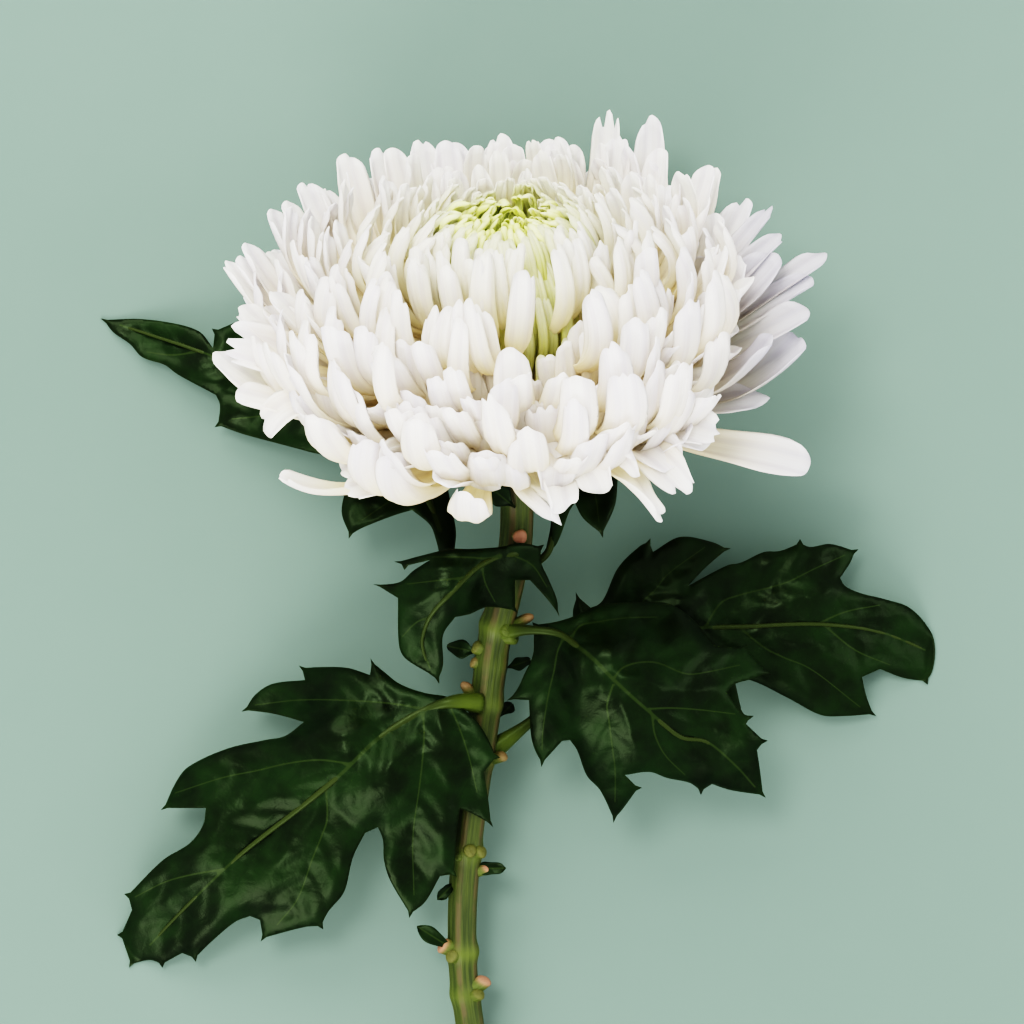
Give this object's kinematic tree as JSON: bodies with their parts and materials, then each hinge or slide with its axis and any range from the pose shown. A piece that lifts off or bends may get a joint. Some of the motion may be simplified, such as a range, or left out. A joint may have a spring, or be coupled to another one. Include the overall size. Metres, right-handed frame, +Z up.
{
  "type": "disbud chrysanthemum",
  "caption": "Cut white chrysanthemum lying on a table: one big bloom of layered incurving florets with a green eye, lobed dark leaves and a short ridged stem.",
  "frame": {"origin": "middle of the bounding box, on the table plane", "axes": "+Y along the stem towards the bloom, +Z up from the table, +X to the right with the bloom away from the viewer"},
  "size_m": [0.1737, 0.2566, 0.101],
  "materials": {
    "petal": "soft satin, white with a cream foot",
    "eye": "soft satin, green-yellow",
    "calyx": "matt green",
    "stem": "satin olive green",
    "leaf": "semi-gloss dark green"
  },
  "bodies": {
    "root": {"ray_florets": "petal", "centre_florets": "eye", "calyx": "calyx", "stem": "stem", "leaf_lower_left": "leaf", "leaf_front_right": "leaf", "leaf_back_right": "leaf", "leaf_curled": "leaf", "leaf_upper_left": "leaf", "leaf_upper_right": "leaf", "axil_leaflet_1": "leaf", "axil_leaflet_2": "leaf", "axil_leaflet_3": "leaf", "axil_leaflet_4": "leaf", "axil_leaflet_5": "leaf", "axil_leaflet_6": "leaf", "axil_leaflet_7": "leaf"}
  },
  "joints": []
}
